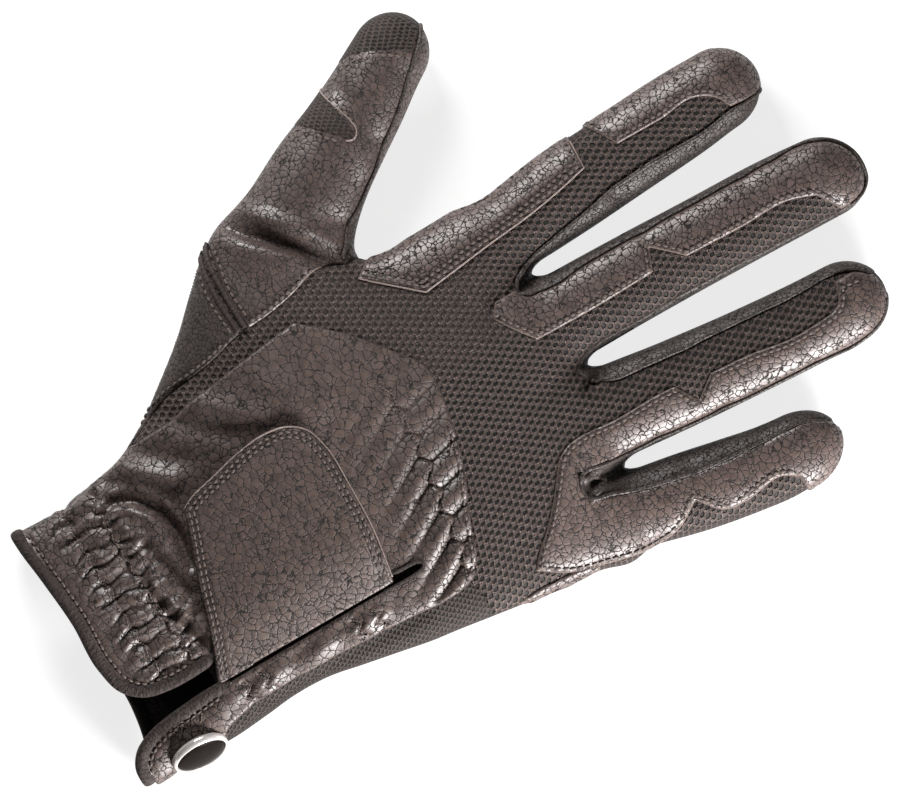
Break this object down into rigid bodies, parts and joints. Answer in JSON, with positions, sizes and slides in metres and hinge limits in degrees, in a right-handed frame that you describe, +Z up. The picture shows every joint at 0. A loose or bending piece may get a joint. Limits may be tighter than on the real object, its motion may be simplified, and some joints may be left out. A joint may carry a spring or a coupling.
{
  "type": "horse riding glove, right hand",
  "caption": "Leather and mesh riding glove for the right hand, hollow, with a wrist tab, a bound slit and a snap, lying palm down.",
  "frame": {"origin": "on the flat underside, below the middle of the palm, 27 mm behind the webs of the long fingers", "axes": "+Y from the cuff to the fingertips, +X towards the little finger, +Z up out of the back of the hand"},
  "size_m": [0.1662, 0.2491, 0.0266],
  "materials": {
    "leather": "pebbled, soft sheen",
    "leather_dark": "pebbled, matt",
    "knit": "knitted mesh with small holes",
    "binding_tape": "matt tape with fine creases",
    "loop_tape": "black ribbed tape",
    "bare_metal": "polished",
    "black_enamel": "glossy black"
  },
  "bodies": {
    "root": {"back_mesh": "knit", "palm_leather": "leather_dark", "wrist_leather": "leather", "thumb_leather": "leather", "heel_leather": "leather_dark", "thumb_tip_mesh": "knit", "thumb_knuckle_mesh": "knit", "fourchette_index_middle": "leather_dark", "fourchette_middle_ring": "leather_dark", "fourchette_ring_little": "leather_dark", "index_lower_patch": "leather", "index_tip_patch": "leather", "middle_patch": "leather", "ring_little_patch": "leather", "edge_patch": "leather", "closure_tab": "leather", "cuff_binding": "binding_tape", "loop_strip": "loop_tape", "thumb_welt_upper": "binding_tape", "thumb_welt_lower": "binding_tape", "snap_rim": "bare_metal", "snap_cap": "black_enamel"}
  },
  "joints": []
}
